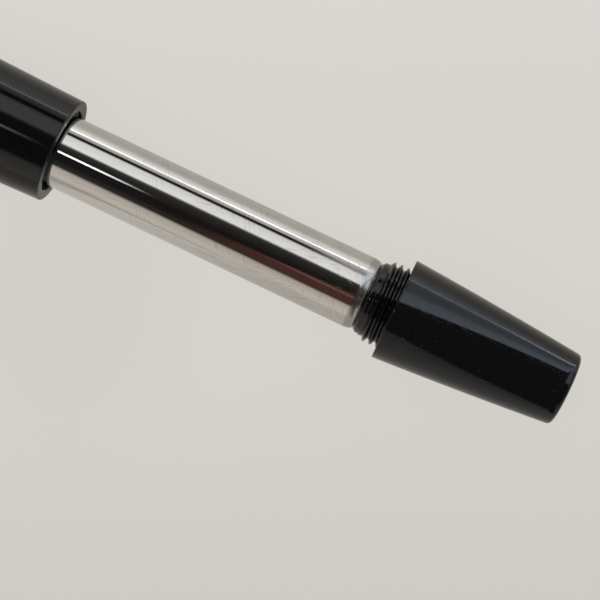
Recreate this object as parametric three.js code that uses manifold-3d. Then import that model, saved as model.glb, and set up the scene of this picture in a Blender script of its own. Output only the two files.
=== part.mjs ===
// Lead holder for two-millimetre leads, with a spare-lead magazine that unscrews and draws out at
// the tail, and a screwed nose that closes a slotted collet on the lead.
//
// Millimetres, +Z up. The holder lies along X with its tail towards +X and is shown with the magazine
// drawn out to its stop. Inside this file X is measured along the axis from the rear face of the
// barrel, and radii are taken from the axis. An outline is a list of [x, radius] points that runs
// along the outside towards the tail and comes back along the bore.

import * as THREE from 'three'
import { mergeVertices } from 'three/addons/utils/BufferGeometryUtils.js'
import Module from 'manifold-3d'

const wasm = await Module()
wasm.setup()

// ---------------------------------------------------------------- driving dimensions

// How finely round shapes are faceted. The barrel's outside has the widest flats, and lies on one.
const FACETS = 24
const BARREL_FACETS = 12
const FINE_FACETS = 16
const LEAD_FACETS = 12
const SPRING_STEPS = 12

// Clearances: between pieces that slide or turn on each other, between fixed pieces that are seated,
// and in front of a stop.
const RUNNING = 0.08
const SEAT = 0.05
const STOP = 0.1

// Broken edges of turned pieces, and how far a piece that is joined or cut runs past its partner.
const EDGE_BREAK = 0.1
const OVERRUN = 0.1

// Clearances in the threads: over a crest, and square to a flank.
const CREST_GAP = 0.1
const FLANK_GAP = 0.08

// Turns of a thread that are wound past its end and trimmed off there, and left off at a run-out.
const TRIMMED_TURN = 1
const RUNOUT_TURN = 1

// Leads and the bundle of spare ones: one in the middle and a ring round it.
const LEAD_R = 1.0
const LEAD_LENGTH = 56
const LEAD_OUT = 6
const LEAD_POINT = 3
const LEAD_POINT_R = 0.2
const LEAD_SPACING = 0.12
const RING_OF_LEADS = 6
const BUNDLE_PLAY = 0.63

// Magazine tube.
const TUBE_WALL = 0.5
const TUBE_EXPOSED = 38.3
const TUBE_SHOULDER = 1.2
const TUBE_SHOULDER_DROP = 0.35
const NECK_WALL = 0.4
const NECK_STEP = 0.95
const NECK_LENGTH = 5.7
const FLANGE_HEIGHT = 0.25
const FLANGE_WIDTH = 0.5
const CUSHION_HEAD = 0.5
const CUSHION_STEM = 3
const CUSHION_PLAY = 0.2

// Snap ring, spring and guide bush carried on the tube inside the barrel.
const SNAP_GROOVE = 0.2
const SNAP_HEIGHT = 0.53
const SNAP_WIDTH = 0.5
const SNAP_MOUTH = 3
const MAGAZINE_SPRING_LENGTH = 7.9
const MAGAZINE_SPRING_WIRE = 0.4
const MAGAZINE_SPRING_TURNS = 5
const BUSH_LENGTH = 5
const BUSH_WALL = 0.54

// Tail thread, single start and right-handed, on the spigot of the knob.
const TAIL_PITCH = 0.84
const TAIL_THREAD_DEPTH = 0.577 * TAIL_PITCH
const TAIL_THREAD_CREST = 0.19 * TAIL_PITCH
const TAIL_THREAD_LENGTH = 2.5
const TAIL_TURNS = 3
const TAIL_ROOT_STEP = 0.05
const PILOT_OVER_TUBE = 0.05
const PILOT_LENGTH = 0.9
const PILOT_CHAMFER = 0.4
const CLOSED_GAP = 0.15

// Tail knob.
const KNOB_LENGTH = 21.25
const KNOB_FACE_R = 6.0
const KNOB_END_R = 4.33
const KNOB_CROWN = 0.206
const KNOB_FACE_BREAK = 0.15
const KNOB_END_ROUND = 0.5

// Barrel.
const RIM_WALL = 1.05
const RIM_BREAK = 0.15
const MOUTH_CHAMFER = 0.6
const MOUTH_LEDGE = 0.115
const THROAT_GAP = 0.2
const THROAT_DEPTH = 8
const O_RING_WIRE_R = 0.5
const O_RING_DEPTH = 5.6
const O_RING_SIDE_PLAY = 0.1
const BARREL_SWELL = 0.6
const REAR_TAPER = 18
const FRONT_TAPER = 12
const FRONT_DROP = 0.25

// Feed funnel and guide tube between the magazine and the chuck.
const FEED_GAP = 2
const FUNNEL_LENGTH = 7
const FUNNEL_CONE = 4.8
const FUNNEL_LIP = 0.5
const GUIDE_SOCKET = 2
const GUIDE_FREE = 6
const GUIDE_WALL = 0.58
const GUIDE_BORE_PLAY = 0.12

// Chuck body, grip section and trim ring.
const SHANK_LENGTH = 12
const SHANK_SOCKET = 4
const STEM_STEP = 0.4
const TRIM_WIDTH = 1.5
const TRIM_PROUD = 0.05
const GRIP_LENGTH = 19.5
const GRIP_WALL = 0.95
const GRIP_STEP = 0.1
const GRIP_GROOVES = 5
const GRIP_GROOVE_PITCH = 1.6
const GRIP_GROOVE_WIDTH = 0.7
const GRIP_GROOVE_DEPTH = 0.3
const GRIP_GROOVE_INSET = 2.2

// Nose thread, single start and right-handed.
const NOSE_PITCH = 0.85
const NOSE_THREAD_DEPTH = 0.47 * NOSE_PITCH
const NOSE_THREAD_CREST = 0.176 * NOSE_PITCH
const NOSE_THREAD_LENGTH = 3.6
const NOSE_THREAD_LEAD_IN = 0.8
const NOSE_GAP = 0.1

// Collet, closing ring and collet spring.
const COLLET_SHANK_R = 2.1
const COLLET_SHANK_LENGTH = 13
const COLLET_HEAD_R = 2.5
const COLLET_HEAD_LENGTH = 1.9
const COLLET_CONE_LENGTH = 3.2
const COLLET_TIP_R = 1.7
const COLLET_SLOTS = 3
const COLLET_SLOT_WIDTH = 0.35
const COLLET_SLOT_BEHIND_HEAD = 6
const COLLET_BORE_PLAY = 0.07
const CLOSING_RING_LENGTH = 2.4
const COLLET_SPRING_WIRE = 0.3
const COLLET_SPRING_TURNS = 2.5
const COLLET_SPRING_ROOM = 0.32

// Nose cap.
const NOSE_LENGTH = 17
const NOSE_WALL = 0.8
const NOSE_BAND = 5.5
const NOSE_BAND_DROP = 0.1
const NOSE_TIP_R = 1.7
const NOSE_CROWN = 0.4
const NOSE_BREAK = 0.2
const NOSE_BORE_PLAY = 0.15

// ---------------------------------------------------------------- sizes that follow

const TURN = Math.PI * 2
const FLANK_ANGLE = Math.PI / 6

const LEAD_RING_R = 2 * LEAD_R + LEAD_SPACING
const TUBE_BORE_R = LEAD_RING_R + LEAD_R + BUNDLE_PLAY
const TUBE_R = TUBE_BORE_R + TUBE_WALL
const NECK_R = TUBE_R - NECK_STEP
const NECK_BORE_R = NECK_R - NECK_WALL
const FLANGE_R = TUBE_R + FLANGE_HEIGHT
const SNAP_R = TUBE_R + SNAP_HEIGHT
const BUSH_BORE_R = TUBE_R + RUNNING
const BUSH_R = BUSH_BORE_R + BUSH_WALL
const MAGAZINE_BORE_R = BUSH_R + RUNNING
const FEED_BORE_R = FLANGE_R + RUNNING + SEAT
const THROAT_R = TUBE_R + THROAT_GAP
const O_RING_R = TUBE_R + RUNNING + O_RING_WIRE_R

const PILOT_R = TUBE_R + PILOT_OVER_TUBE
const TAIL_ROOT_R = PILOT_R + TAIL_ROOT_STEP
const TAIL_CREST_R = TAIL_ROOT_R + TAIL_THREAD_DEPTH
const MOUTH_BORE_R = TAIL_CREST_R + CREST_GAP + MOUTH_LEDGE
const BARREL_MOUTH_R = MOUTH_BORE_R + RIM_WALL
const BARREL_R = BARREL_MOUTH_R + BARREL_SWELL
const BARREL_FRONT_R = BARREL_R - FRONT_DROP

const NOSE_THREAD_CORE_R = COLLET_HEAD_R + RUNNING + COLLET_SPRING_WIRE + COLLET_SPRING_ROOM
const NOSE_REAR_R = NOSE_THREAD_CORE_R + NOSE_THREAD_DEPTH + CREST_GAP + NOSE_WALL
const STEM_R = NOSE_THREAD_CORE_R + STEM_STEP

// Stations along the axis with the magazine drawn out.
const throatEndX = -THROAT_DEPTH
const snapRearX = throatEndX - STOP
const snapFrontX = snapRearX - SNAP_WIDTH
const bushRearX = snapFrontX - MAGAZINE_SPRING_LENGTH
const bushFrontX = bushRearX - BUSH_LENGTH
const flangeRearX = bushFrontX - STOP
const tubeFrontX = flangeRearX - FLANGE_WIDTH
const tubeBoreEndX = TUBE_EXPOSED - TUBE_SHOULDER
const pilotRearX = TUBE_EXPOSED + PILOT_LENGTH
const knobFaceX = pilotRearX + TAIL_THREAD_LENGTH
const knobEndX = knobFaceX + KNOB_LENGTH

// How far the magazine slides before its thread meets the barrel's, and how far it screws home.
const screwTravel = TAIL_TURNS * TAIL_PITCH
const slideTravel = knobFaceX - CLOSED_GAP - screwTravel

// Stations that follow from the closed magazine and from the stack in front of it.
const innerShoulderX = bushFrontX - slideTravel - STOP
const closedTubeFrontX = tubeFrontX - slideTravel - screwTravel
const funnelRearX = closedTubeFrontX - FEED_GAP
const funnelFrontX = funnelRearX - FUNNEL_LENGTH
const chuckRearX = funnelFrontX - GUIDE_FREE
const barrelFrontX = chuckRearX - SHANK_LENGTH
const trimRearX = barrelFrontX - SEAT
const trimFrontX = trimRearX - TRIM_WIDTH
const gripRearX = trimFrontX - SEAT
const gripFrontX = gripRearX - GRIP_LENGTH
const noseRearX = gripFrontX - NOSE_GAP
const noseTipX = noseRearX - NOSE_LENGTH
const chuckFrontX = noseRearX - NOSE_THREAD_LENGTH - NOSE_THREAD_LEAD_IN
const colletRearX = chuckFrontX + COLLET_SHANK_LENGTH
const headRearX = chuckFrontX - SEAT
const coneRearX = chuckFrontX - COLLET_HEAD_LENGTH
const colletTipX = coneRearX - COLLET_CONE_LENGTH
const ringRearX = coneRearX - STOP
const ringFrontX = ringRearX - CLOSING_RING_LENGTH
const thrustFaceX = ringFrontX - STOP
const leadTipX = noseTipX - LEAD_OUT

// Both tail threads start from this station, so they are in mesh when the magazine is home, and both
// nose threads from the other one.
const tailThreadStartX = pilotRearX - TAIL_PITCH / 2
const noseThreadStartX = chuckFrontX + NOSE_THREAD_LEAD_IN / 2

// ---------------------------------------------------------------- materials

function finish(color, metalness, roughness) {
  return new THREE.MeshStandardMaterial({ color, metalness, roughness })
}

const blackResin = finish(0x0c0c0d, 0, 0.12)
const chrome = finish(0xd8d8d6, 1, 0.06)
const brass = finish(0xb8974c, 1, 0.3)
const steel = finish(0x9a9a9c, 1, 0.3)
const rubber = finish(0x1a1a1a, 0, 0.8)
const nylon = finish(0xd9d4c4, 0, 0.5)
const graphite = finish(0x34343a, 0.3, 0.45)

// ---------------------------------------------------------------- tools

// Turns an outline round the X axis. Its radii are those of the flats, which face straight up and down.
function turned(outline, facets = FACETS) {
  const toCorner = 1 / Math.cos(Math.PI / facets)
  const points = outline.map(([x, radius]) => new THREE.Vector2(radius * toCorner, x))
  return new THREE.LatheGeometry(points, facets, Math.PI / facets).rotateZ(-Math.PI / 2)
}

// A turned piece whose outline closes on itself, as every piece with a bore right through it does.
function turnedTube(outline, facets = FACETS) {
  return turned([...outline, outline[0]], facets)
}

// Winds a section round the X axis on a right-handed helix, for at least so many turns. The section
// is drawn as (x, radius), and its radii are those of the flats here too.
function wound(section, pitch, turns, startX, stepsPerTurn = FACETS) {
  const toCorner = 1 / Math.cos(Math.PI / stepsPerTurn)
  const steps = Math.ceil(turns * stepsPerTurn)
  const geometry = new THREE.ExtrudeGeometry(section, {
    depth: (steps / stepsPerTurn) * TURN,
    steps,
    bevelEnabled: false,
    curveSegments: 3,
  })
  const places = geometry.attributes.position
  for (let i = 0; i < places.count; i += 1) {
    const angle = places.getZ(i)
    const radius = places.getY(i) * toCorner
    const x = startX + places.getX(i) + (pitch * angle) / TURN
    places.setXYZ(i, x, radius * Math.cos(angle), radius * Math.sin(angle))
  }
  return geometry
}

// The section of a sixty-degree thread ridge.
function ridge(rootR, crestR, crestWidth) {
  const half = crestWidth / 2
  const foot = half + (crestR - rootR) * Math.tan(FLANK_ANGLE)
  return new THREE.Shape([
    new THREE.Vector2(-foot, rootR),
    new THREE.Vector2(foot, rootR),
    new THREE.Vector2(half, crestR),
    new THREE.Vector2(-half, crestR),
  ])
}

// The section of the groove that such a ridge runs in, clear of its crest and of its flanks.
function groove(rootR, crestR, crestWidth) {
  const floorWidth = crestWidth + 2 * (FLANK_GAP / Math.cos(FLANK_ANGLE) - CREST_GAP * Math.tan(FLANK_ANGLE))
  return ridge(rootR, crestR + CREST_GAP, floorWidth)
}

// A wire section of a coil spring.
function wire(coilR, diameter) {
  const section = new THREE.Shape()
  section.absarc(0, coilR, diameter / 2, 0, TURN, false)
  return section
}

// Points of a quarter round that ends an outline's outside towards the tail.
function quarterRound(endX, outerR, round, steps = 3) {
  const points = []
  for (let i = 0; i <= steps; i += 1) {
    const angle = (Math.PI / 2) * (i / steps)
    points.push([endX - round + round * Math.sin(angle), outerR - round + round * Math.cos(angle)])
  }
  return points
}

function solid(geometry) {
  const bare = geometry.clone()
  bare.deleteAttribute('normal')
  bare.deleteAttribute('uv')
  const merged = mergeVertices(bare)
  const corners = merged.index.array
  const kept = []
  for (let i = 0; i < corners.length; i += 3) {
    const [a, b, c] = [corners[i], corners[i + 1], corners[i + 2]]
    if (a !== b && b !== c && c !== a) kept.push(a, b, c)
  }
  return new wasm.Manifold(new wasm.Mesh({
    numProp: 3,
    vertProperties: new Float32Array(merged.attributes.position.array),
    triVerts: new Uint32Array(kept),
  }))
}

function toGeometry(body) {
  const mesh = body.getMesh()
  const geometry = new THREE.BufferGeometry()
  geometry.setAttribute('position', new THREE.BufferAttribute(mesh.vertProperties, 3))
  geometry.setIndex(new THREE.BufferAttribute(mesh.triVerts, 1))
  return geometry
}

const holder = new THREE.Group()

function place(name, geometry, material) {
  const mesh = new THREE.Mesh(geometry, material)
  mesh.name = name
  holder.add(mesh)
  return mesh
}

// ---------------------------------------------------------------- the magazine and its knob

// Radius of the knob's side, from 0 at its face to 1 at its end: a taper with a slight crown.
function knobSideR(share) {
  return KNOB_FACE_R + (KNOB_END_R - KNOB_FACE_R) * ((1 - KNOB_CROWN) * share + KNOB_CROWN * share * share)
}

function tailKnob() {
  const sideSteps = 4
  const side = []
  const sideStart = KNOB_FACE_BREAK / KNOB_LENGTH
  const sideEnd = 1 - KNOB_END_ROUND / KNOB_LENGTH
  for (let i = 0; i < sideSteps; i += 1) {
    const share = sideStart + (sideEnd - sideStart) * (i / sideSteps)
    side.push([knobFaceX + KNOB_LENGTH * share, knobSideR(share)])
  }
  const socketR = NECK_R + SEAT
  const socketEndX = TUBE_EXPOSED + NECK_LENGTH + SEAT
  const blank = turned([
    [socketEndX, 0],
    [socketEndX, socketR],
    [TUBE_EXPOSED + SEAT, socketR],
    [TUBE_EXPOSED + SEAT, PILOT_R - PILOT_CHAMFER],
    [TUBE_EXPOSED + SEAT + PILOT_CHAMFER, PILOT_R],
    [pilotRearX, PILOT_R],
    [pilotRearX + SEAT, TAIL_ROOT_R],
    [knobFaceX, TAIL_ROOT_R],
    [knobFaceX, KNOB_FACE_R - KNOB_FACE_BREAK],
    ...side,
    ...quarterRound(knobEndX, knobSideR(sideEnd), KNOB_END_ROUND),
    [knobEndX, 0],
  ])
  const sunkRootR = TAIL_ROOT_R - OVERRUN
  const turns = TAIL_THREAD_LENGTH / TAIL_PITCH + TRIMMED_TURN
  const section = ridge(sunkRootR, TAIL_CREST_R, TAIL_THREAD_CREST)
  const thread = wound(section, TAIL_PITCH, turns, tailThreadStartX)
  const trim = turnedTube([
    [pilotRearX + SEAT, TAIL_CREST_R + OVERRUN],
    [knobFaceX + OVERRUN, TAIL_CREST_R + OVERRUN],
    [knobFaceX + OVERRUN, sunkRootR - OVERRUN],
    [pilotRearX + SEAT, sunkRootR - OVERRUN],
  ])
  return toGeometry(solid(blank).add(solid(thread).intersect(solid(trim))))
}

function magazineTube() {
  const shoulderSteps = 3
  const shoulder = []
  for (let i = 0; i <= shoulderSteps; i += 1) {
    const angle = (Math.PI / 2) * (i / shoulderSteps)
    shoulder.push([
      tubeBoreEndX + TUBE_SHOULDER * Math.sin(angle),
      TUBE_R - TUBE_SHOULDER_DROP * (1 - Math.cos(angle)),
    ])
  }
  return turnedTube([
    [tubeFrontX, FLANGE_R],
    [flangeRearX, FLANGE_R],
    [flangeRearX, TUBE_R],
    [snapFrontX - SEAT, TUBE_R],
    [snapFrontX - SEAT, TUBE_R - SNAP_GROOVE],
    [snapRearX + SEAT, TUBE_R - SNAP_GROOVE],
    [snapRearX + SEAT, TUBE_R],
    ...shoulder,
    [TUBE_EXPOSED, NECK_R],
    [TUBE_EXPOSED + NECK_LENGTH, NECK_R],
    [TUBE_EXPOSED + NECK_LENGTH, NECK_BORE_R],
    [tubeBoreEndX, NECK_BORE_R],
    [tubeBoreEndX, TUBE_BORE_R],
    [tubeFrontX, TUBE_BORE_R],
  ])
}

function leadCushion() {
  const seatX = tubeBoreEndX - SEAT
  const headR = TUBE_BORE_R - CUSHION_PLAY
  const stemR = NECK_BORE_R - SEAT
  return turned([
    [seatX - CUSHION_HEAD, 0],
    [seatX - CUSHION_HEAD, headR],
    [seatX, headR],
    [seatX, stemR],
    [seatX + CUSHION_STEM, stemR],
    [seatX + CUSHION_STEM, 0],
  ])
}

// The snap ring is open at its top, where it is sprung over the tube.
function snapRing() {
  const ring = turnedTube([
    [snapFrontX, SNAP_R],
    [snapRearX, SNAP_R],
    [snapRearX, TUBE_R - SNAP_GROOVE + SEAT],
    [snapFrontX, TUBE_R - SNAP_GROOVE + SEAT],
  ])
  const mouth = new THREE.BoxGeometry(SNAP_WIDTH + 2 * OVERRUN, SNAP_MOUTH, 2 * SNAP_R)
  mouth.translate((snapFrontX + snapRearX) / 2, 0, SNAP_R)
  return toGeometry(solid(ring).subtract(solid(mouth)))
}

function guideBush() {
  return turnedTube([
    [bushFrontX, BUSH_R - EDGE_BREAK],
    [bushFrontX + EDGE_BREAK, BUSH_R],
    [bushRearX - EDGE_BREAK, BUSH_R],
    [bushRearX, BUSH_R - EDGE_BREAK],
    [bushRearX, BUSH_BORE_R],
    [bushFrontX, BUSH_BORE_R],
  ])
}

function magazineSpring() {
  const coilR = TUBE_R + RUNNING + MAGAZINE_SPRING_WIRE / 2
  const room = MAGAZINE_SPRING_LENGTH - MAGAZINE_SPRING_WIRE - 2 * SEAT
  const startX = bushRearX + SEAT + MAGAZINE_SPRING_WIRE / 2
  const pitch = room / MAGAZINE_SPRING_TURNS
  return wound(wire(coilR, MAGAZINE_SPRING_WIRE), pitch, MAGAZINE_SPRING_TURNS, startX, SPRING_STEPS)
}

function spareLead(y, z) {
  const rearX = tubeBoreEndX - SEAT - CUSHION_HEAD - SEAT
  const rod = turned([
    [rearX - LEAD_LENGTH, 0],
    [rearX - LEAD_LENGTH, LEAD_R],
    [rearX, LEAD_R],
    [rearX, 0],
  ], LEAD_FACETS)
  return rod.translate(0, y, z)
}

// ---------------------------------------------------------------- the barrel

function barrel() {
  const grooveR = O_RING_R + O_RING_WIRE_R + SEAT
  const grooveRearX = -O_RING_DEPTH + O_RING_WIRE_R + O_RING_SIDE_PLAY
  const grooveFrontX = -O_RING_DEPTH - O_RING_WIRE_R - O_RING_SIDE_PLAY
  const outside = turned([
    [barrelFrontX, 0],
    [barrelFrontX, BARREL_FRONT_R - RIM_BREAK],
    [barrelFrontX + RIM_BREAK, BARREL_FRONT_R],
    [barrelFrontX + FRONT_TAPER, BARREL_R],
    [-REAR_TAPER, BARREL_R],
    [-RIM_BREAK, BARREL_MOUTH_R],
    [0, BARREL_MOUTH_R - RIM_BREAK],
    [0, 0],
  ], BARREL_FACETS)
  const bore = turned([
    [barrelFrontX - OVERRUN, 0],
    [barrelFrontX - OVERRUN, FEED_BORE_R],
    [innerShoulderX, FEED_BORE_R],
    [innerShoulderX, MAGAZINE_BORE_R],
    [throatEndX, MAGAZINE_BORE_R],
    [throatEndX, THROAT_R],
    [grooveFrontX, THROAT_R],
    [grooveFrontX, grooveR],
    [grooveRearX, grooveR],
    [grooveRearX, THROAT_R],
    [-MOUTH_CHAMFER, THROAT_R],
    [0, MOUTH_BORE_R],
    [OVERRUN, MOUTH_BORE_R],
    [OVERRUN, 0],
  ])
  const turns = TAIL_THREAD_LENGTH / TAIL_PITCH + 2 * TRIMMED_TURN
  const startX = tailThreadStartX - slideTravel - screwTravel
  const section = groove(THROAT_R - OVERRUN, TAIL_CREST_R, TAIL_THREAD_CREST)
  const thread = wound(section, TAIL_PITCH, turns, startX)
  return toGeometry(solid(outside).subtract(solid(bore)).subtract(solid(thread)))
}

function throatRing() {
  const steps = 8
  const outline = []
  for (let i = 0; i < steps; i += 1) {
    const angle = (TURN * i) / steps
    const x = -O_RING_DEPTH - O_RING_WIRE_R * Math.cos(angle)
    outline.push([x, O_RING_R + O_RING_WIRE_R * Math.sin(angle)])
  }
  return turnedTube(outline)
}

// ---------------------------------------------------------------- the feed to the chuck

const guideBoreR = LEAD_R + GUIDE_BORE_PLAY
const guideR = guideBoreR + GUIDE_WALL

function feedFunnel() {
  const outerR = FEED_BORE_R - SEAT
  return turnedTube([
    [funnelFrontX, outerR],
    [funnelRearX, outerR],
    [funnelRearX, outerR - FUNNEL_LIP],
    [funnelRearX - FUNNEL_CONE, guideBoreR],
    [funnelFrontX + GUIDE_SOCKET, guideBoreR],
    [funnelFrontX + GUIDE_SOCKET, guideR + SEAT],
    [funnelFrontX, guideR + SEAT],
  ])
}

function leadGuideTube() {
  const rearX = funnelFrontX + GUIDE_SOCKET - SEAT
  const frontX = chuckRearX - SHANK_SOCKET + SEAT
  return turnedTube([
    [frontX, guideR],
    [rearX, guideR],
    [rearX, guideBoreR],
    [frontX, guideBoreR],
  ], FINE_FACETS)
}

// ---------------------------------------------------------------- chuck body, trim ring and grip

function chuckBody() {
  const shankR = FEED_BORE_R - SEAT
  const blank = turnedTube([
    [chuckFrontX, NOSE_THREAD_CORE_R],
    [gripFrontX - NOSE_GAP / 2, NOSE_THREAD_CORE_R],
    [gripFrontX - NOSE_GAP / 2, STEM_R],
    [barrelFrontX - SEAT / 2, STEM_R],
    [barrelFrontX - SEAT / 2, shankR],
    [chuckRearX, shankR],
    [chuckRearX, guideR + SEAT],
    [chuckRearX - SHANK_SOCKET, guideR + SEAT],
    [chuckRearX - SHANK_SOCKET, guideBoreR],
    [colletRearX + SEAT, guideBoreR],
    [colletRearX + SEAT, COLLET_SHANK_R + SEAT],
    [chuckFrontX, COLLET_SHANK_R + SEAT],
  ])
  const crestR = NOSE_THREAD_CORE_R + NOSE_THREAD_DEPTH
  const turns = NOSE_THREAD_LENGTH / NOSE_PITCH - RUNOUT_TURN
  const section = ridge(NOSE_THREAD_CORE_R - OVERRUN, crestR, NOSE_THREAD_CREST)
  const thread = wound(section, NOSE_PITCH, turns, noseThreadStartX, FINE_FACETS)
  return toGeometry(solid(blank).add(solid(thread)))
}

function trimRing() {
  const outerR = BARREL_FRONT_R + TRIM_PROUD
  return turnedTube([
    [trimFrontX, outerR - EDGE_BREAK],
    [trimFrontX + EDGE_BREAK, outerR],
    [trimRearX - EDGE_BREAK, outerR],
    [trimRearX, outerR - EDGE_BREAK],
    [trimRearX, STEM_R + SEAT],
    [trimFrontX, STEM_R + SEAT],
  ])
}

const gripRearR = BARREL_FRONT_R - GRIP_STEP
const gripFrontR = STEM_R + SEAT + GRIP_WALL

// Radius of the grip's outside: a long hollow curve down to the nose.
function gripSideR(x) {
  const share = (gripRearX - x) / GRIP_LENGTH
  return gripRearR + (gripFrontR - gripRearR) * Math.sin((share * Math.PI) / 2)
}

function gripSection() {
  const side = [[gripFrontX, gripFrontR - EDGE_BREAK], [gripFrontX + EDGE_BREAK, gripFrontR]]
  for (let i = 0; i < GRIP_GROOVES; i += 1) {
    const x = gripFrontX + GRIP_GROOVE_INSET + i * GRIP_GROOVE_PITCH
    const endX = x + GRIP_GROOVE_WIDTH
    side.push([x, gripSideR(x)])
    side.push([x + GRIP_GROOVE_DEPTH / 2, gripSideR(x) - GRIP_GROOVE_DEPTH])
    side.push([endX - GRIP_GROOVE_DEPTH / 2, gripSideR(endX) - GRIP_GROOVE_DEPTH])
    side.push([endX, gripSideR(endX)])
  }
  const lastGrooveX = side[side.length - 1][0]
  const rearSteps = 4
  for (let i = 1; i <= rearSteps; i += 1) {
    const x = lastGrooveX + (gripRearX - EDGE_BREAK - lastGrooveX) * (i / rearSteps)
    side.push([x, gripSideR(x)])
  }
  return turnedTube([
    ...side,
    [gripRearX, gripRearR - EDGE_BREAK],
    [gripRearX, STEM_R + SEAT],
    [gripFrontX, STEM_R + SEAT],
  ])
}

// ---------------------------------------------------------------- collet, closing ring and nose

function colletConeR(x) {
  return COLLET_HEAD_R - (COLLET_HEAD_R - COLLET_TIP_R) * ((coneRearX - x) / COLLET_CONE_LENGTH)
}

function collet() {
  const boreR = LEAD_R + COLLET_BORE_PLAY
  const blank = turnedTube([
    [colletTipX, COLLET_TIP_R],
    [coneRearX, COLLET_HEAD_R],
    [headRearX, COLLET_HEAD_R],
    [headRearX, COLLET_SHANK_R],
    [colletRearX, COLLET_SHANK_R],
    [colletRearX, boreR],
    [colletTipX, boreR],
  ], FINE_FACETS)
  const slotRearX = chuckFrontX + COLLET_SLOT_BEHIND_HEAD
  const length = slotRearX - colletTipX + OVERRUN
  const slot = new THREE.BoxGeometry(length, COLLET_SLOT_WIDTH, 2 * COLLET_HEAD_R)
  slot.translate(slotRearX - length / 2, 0, COLLET_HEAD_R)
  let body = solid(blank)
  for (let i = 0; i < COLLET_SLOTS; i += 1) {
    body = body.subtract(solid(slot.clone().rotateX((TURN * i) / COLLET_SLOTS)))
  }
  return toGeometry(body)
}

function closingRing() {
  const outerR = NOSE_THREAD_CORE_R
  return turnedTube([
    [ringFrontX, outerR - EDGE_BREAK],
    [ringFrontX + EDGE_BREAK, outerR],
    [ringRearX, outerR],
    [ringRearX, colletConeR(ringRearX) + RUNNING],
    [ringFrontX, colletConeR(ringFrontX) + RUNNING],
  ], FINE_FACETS)
}

function colletSpring() {
  const coilR = COLLET_HEAD_R + RUNNING + COLLET_SPRING_WIRE / 2
  const room = headRearX - ringRearX - COLLET_SPRING_WIRE - 2 * SEAT
  const startX = ringRearX + SEAT + COLLET_SPRING_WIRE / 2
  const pitch = room / COLLET_SPRING_TURNS
  return wound(wire(coilR, COLLET_SPRING_WIRE), pitch, COLLET_SPRING_TURNS, startX, SPRING_STEPS)
}

function noseCap() {
  const bandFrontX = noseRearX - NOSE_BAND
  const bandR = NOSE_REAR_R - NOSE_BAND_DROP
  const steps = 6
  const ogive = []
  for (let i = 0; i <= steps; i += 1) {
    const share = 1 - i / steps
    const x = bandFrontX - (NOSE_LENGTH - NOSE_BAND) * share
    const fall = (1 - NOSE_CROWN) * share + NOSE_CROWN * share * share
    ogive.push([x, bandR - (bandR - NOSE_TIP_R) * fall])
  }
  const chamberR = NOSE_THREAD_CORE_R + RUNNING
  const tipBoreR = LEAD_R + NOSE_BORE_PLAY
  const tipRoomR = colletConeR(ringFrontX) + RUNNING
  const blank = turnedTube([
    ...ogive,
    [bandFrontX + NOSE_BAND_DROP, NOSE_REAR_R],
    [noseRearX - NOSE_BREAK, NOSE_REAR_R],
    [noseRearX, NOSE_REAR_R - NOSE_BREAK],
    [noseRearX, chamberR + NOSE_THREAD_DEPTH],
    [noseRearX - NOSE_THREAD_DEPTH, chamberR],
    [thrustFaceX, chamberR],
    [thrustFaceX, tipRoomR],
    [colletTipX - STOP, tipRoomR],
    [colletTipX - STOP - (tipRoomR - tipBoreR), tipBoreR],
    [noseTipX, tipBoreR],
  ], FINE_FACETS)
  const turns = NOSE_THREAD_LENGTH / NOSE_PITCH + 2 * TRIMMED_TURN
  const startX = noseThreadStartX - TRIMMED_TURN * NOSE_PITCH
  const crestR = NOSE_THREAD_CORE_R + NOSE_THREAD_DEPTH
  const section = groove(chamberR - OVERRUN, crestR, NOSE_THREAD_CREST)
  const thread = wound(section, NOSE_PITCH, turns, startX, FINE_FACETS)
  return toGeometry(solid(blank).subtract(solid(thread)))
}

function workingLead() {
  return turned([
    [leadTipX, 0],
    [leadTipX, LEAD_POINT_R],
    [leadTipX + LEAD_POINT, LEAD_R],
    [leadTipX + LEAD_LENGTH, LEAD_R],
    [leadTipX + LEAD_LENGTH, 0],
  ], LEAD_FACETS)
}

// ---------------------------------------------------------------- assembly

place('barrel', barrel(), blackResin)
place('throat_o_ring', throatRing(), rubber)
place('feed_funnel', feedFunnel(), nylon)
place('lead_guide_tube', leadGuideTube(), brass)
place('chuck_body', chuckBody(), brass)
place('trim_ring', trimRing(), chrome)
place('grip_section', gripSection(), blackResin)
place('collet', collet(), steel)
place('collet_spring', colletSpring(), steel)
place('closing_ring', closingRing(), steel)
place('nose_cap', noseCap(), chrome)
place('lead', workingLead(), graphite)

place('guide_bush', guideBush(), nylon)
place('magazine_spring', magazineSpring(), steel)
place('magazine_tube', magazineTube(), chrome)
place('snap_ring', snapRing(), steel)
place('tail_knob', tailKnob(), blackResin)
place('lead_cushion', leadCushion(), rubber)

// The bundle of spare leads lies on the floor of the tube.
const toLeadCorner = 1 / Math.cos(Math.PI / LEAD_FACETS)
const bundleDrop = TUBE_BORE_R - RUNNING - LEAD_RING_R - LEAD_R * toLeadCorner
place('spare_lead_1', spareLead(0, -bundleDrop), graphite)
for (let i = 0; i < RING_OF_LEADS; i += 1) {
  const angle = (TURN * (i + 0.5)) / RING_OF_LEADS
  const y = LEAD_RING_R * Math.cos(angle)
  const z = LEAD_RING_R * Math.sin(angle) - bundleDrop
  place(`spare_lead_${i + 2}`, spareLead(y, z), graphite)
}

// The origin is under the middle of the holder as it lies on a table.
holder.position.set(-(leadTipX + knobEndX) / 2, 0, BARREL_R)

export default holder
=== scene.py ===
"""A lead holder with its magazine drawn out, seen close on its mouth, its tube and its knob."""

import math

import bmesh
import bpy
from bpy.props import FloatProperty, FloatVectorProperty, IntProperty, PointerProperty
from mathutils import Matrix, Vector


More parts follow.
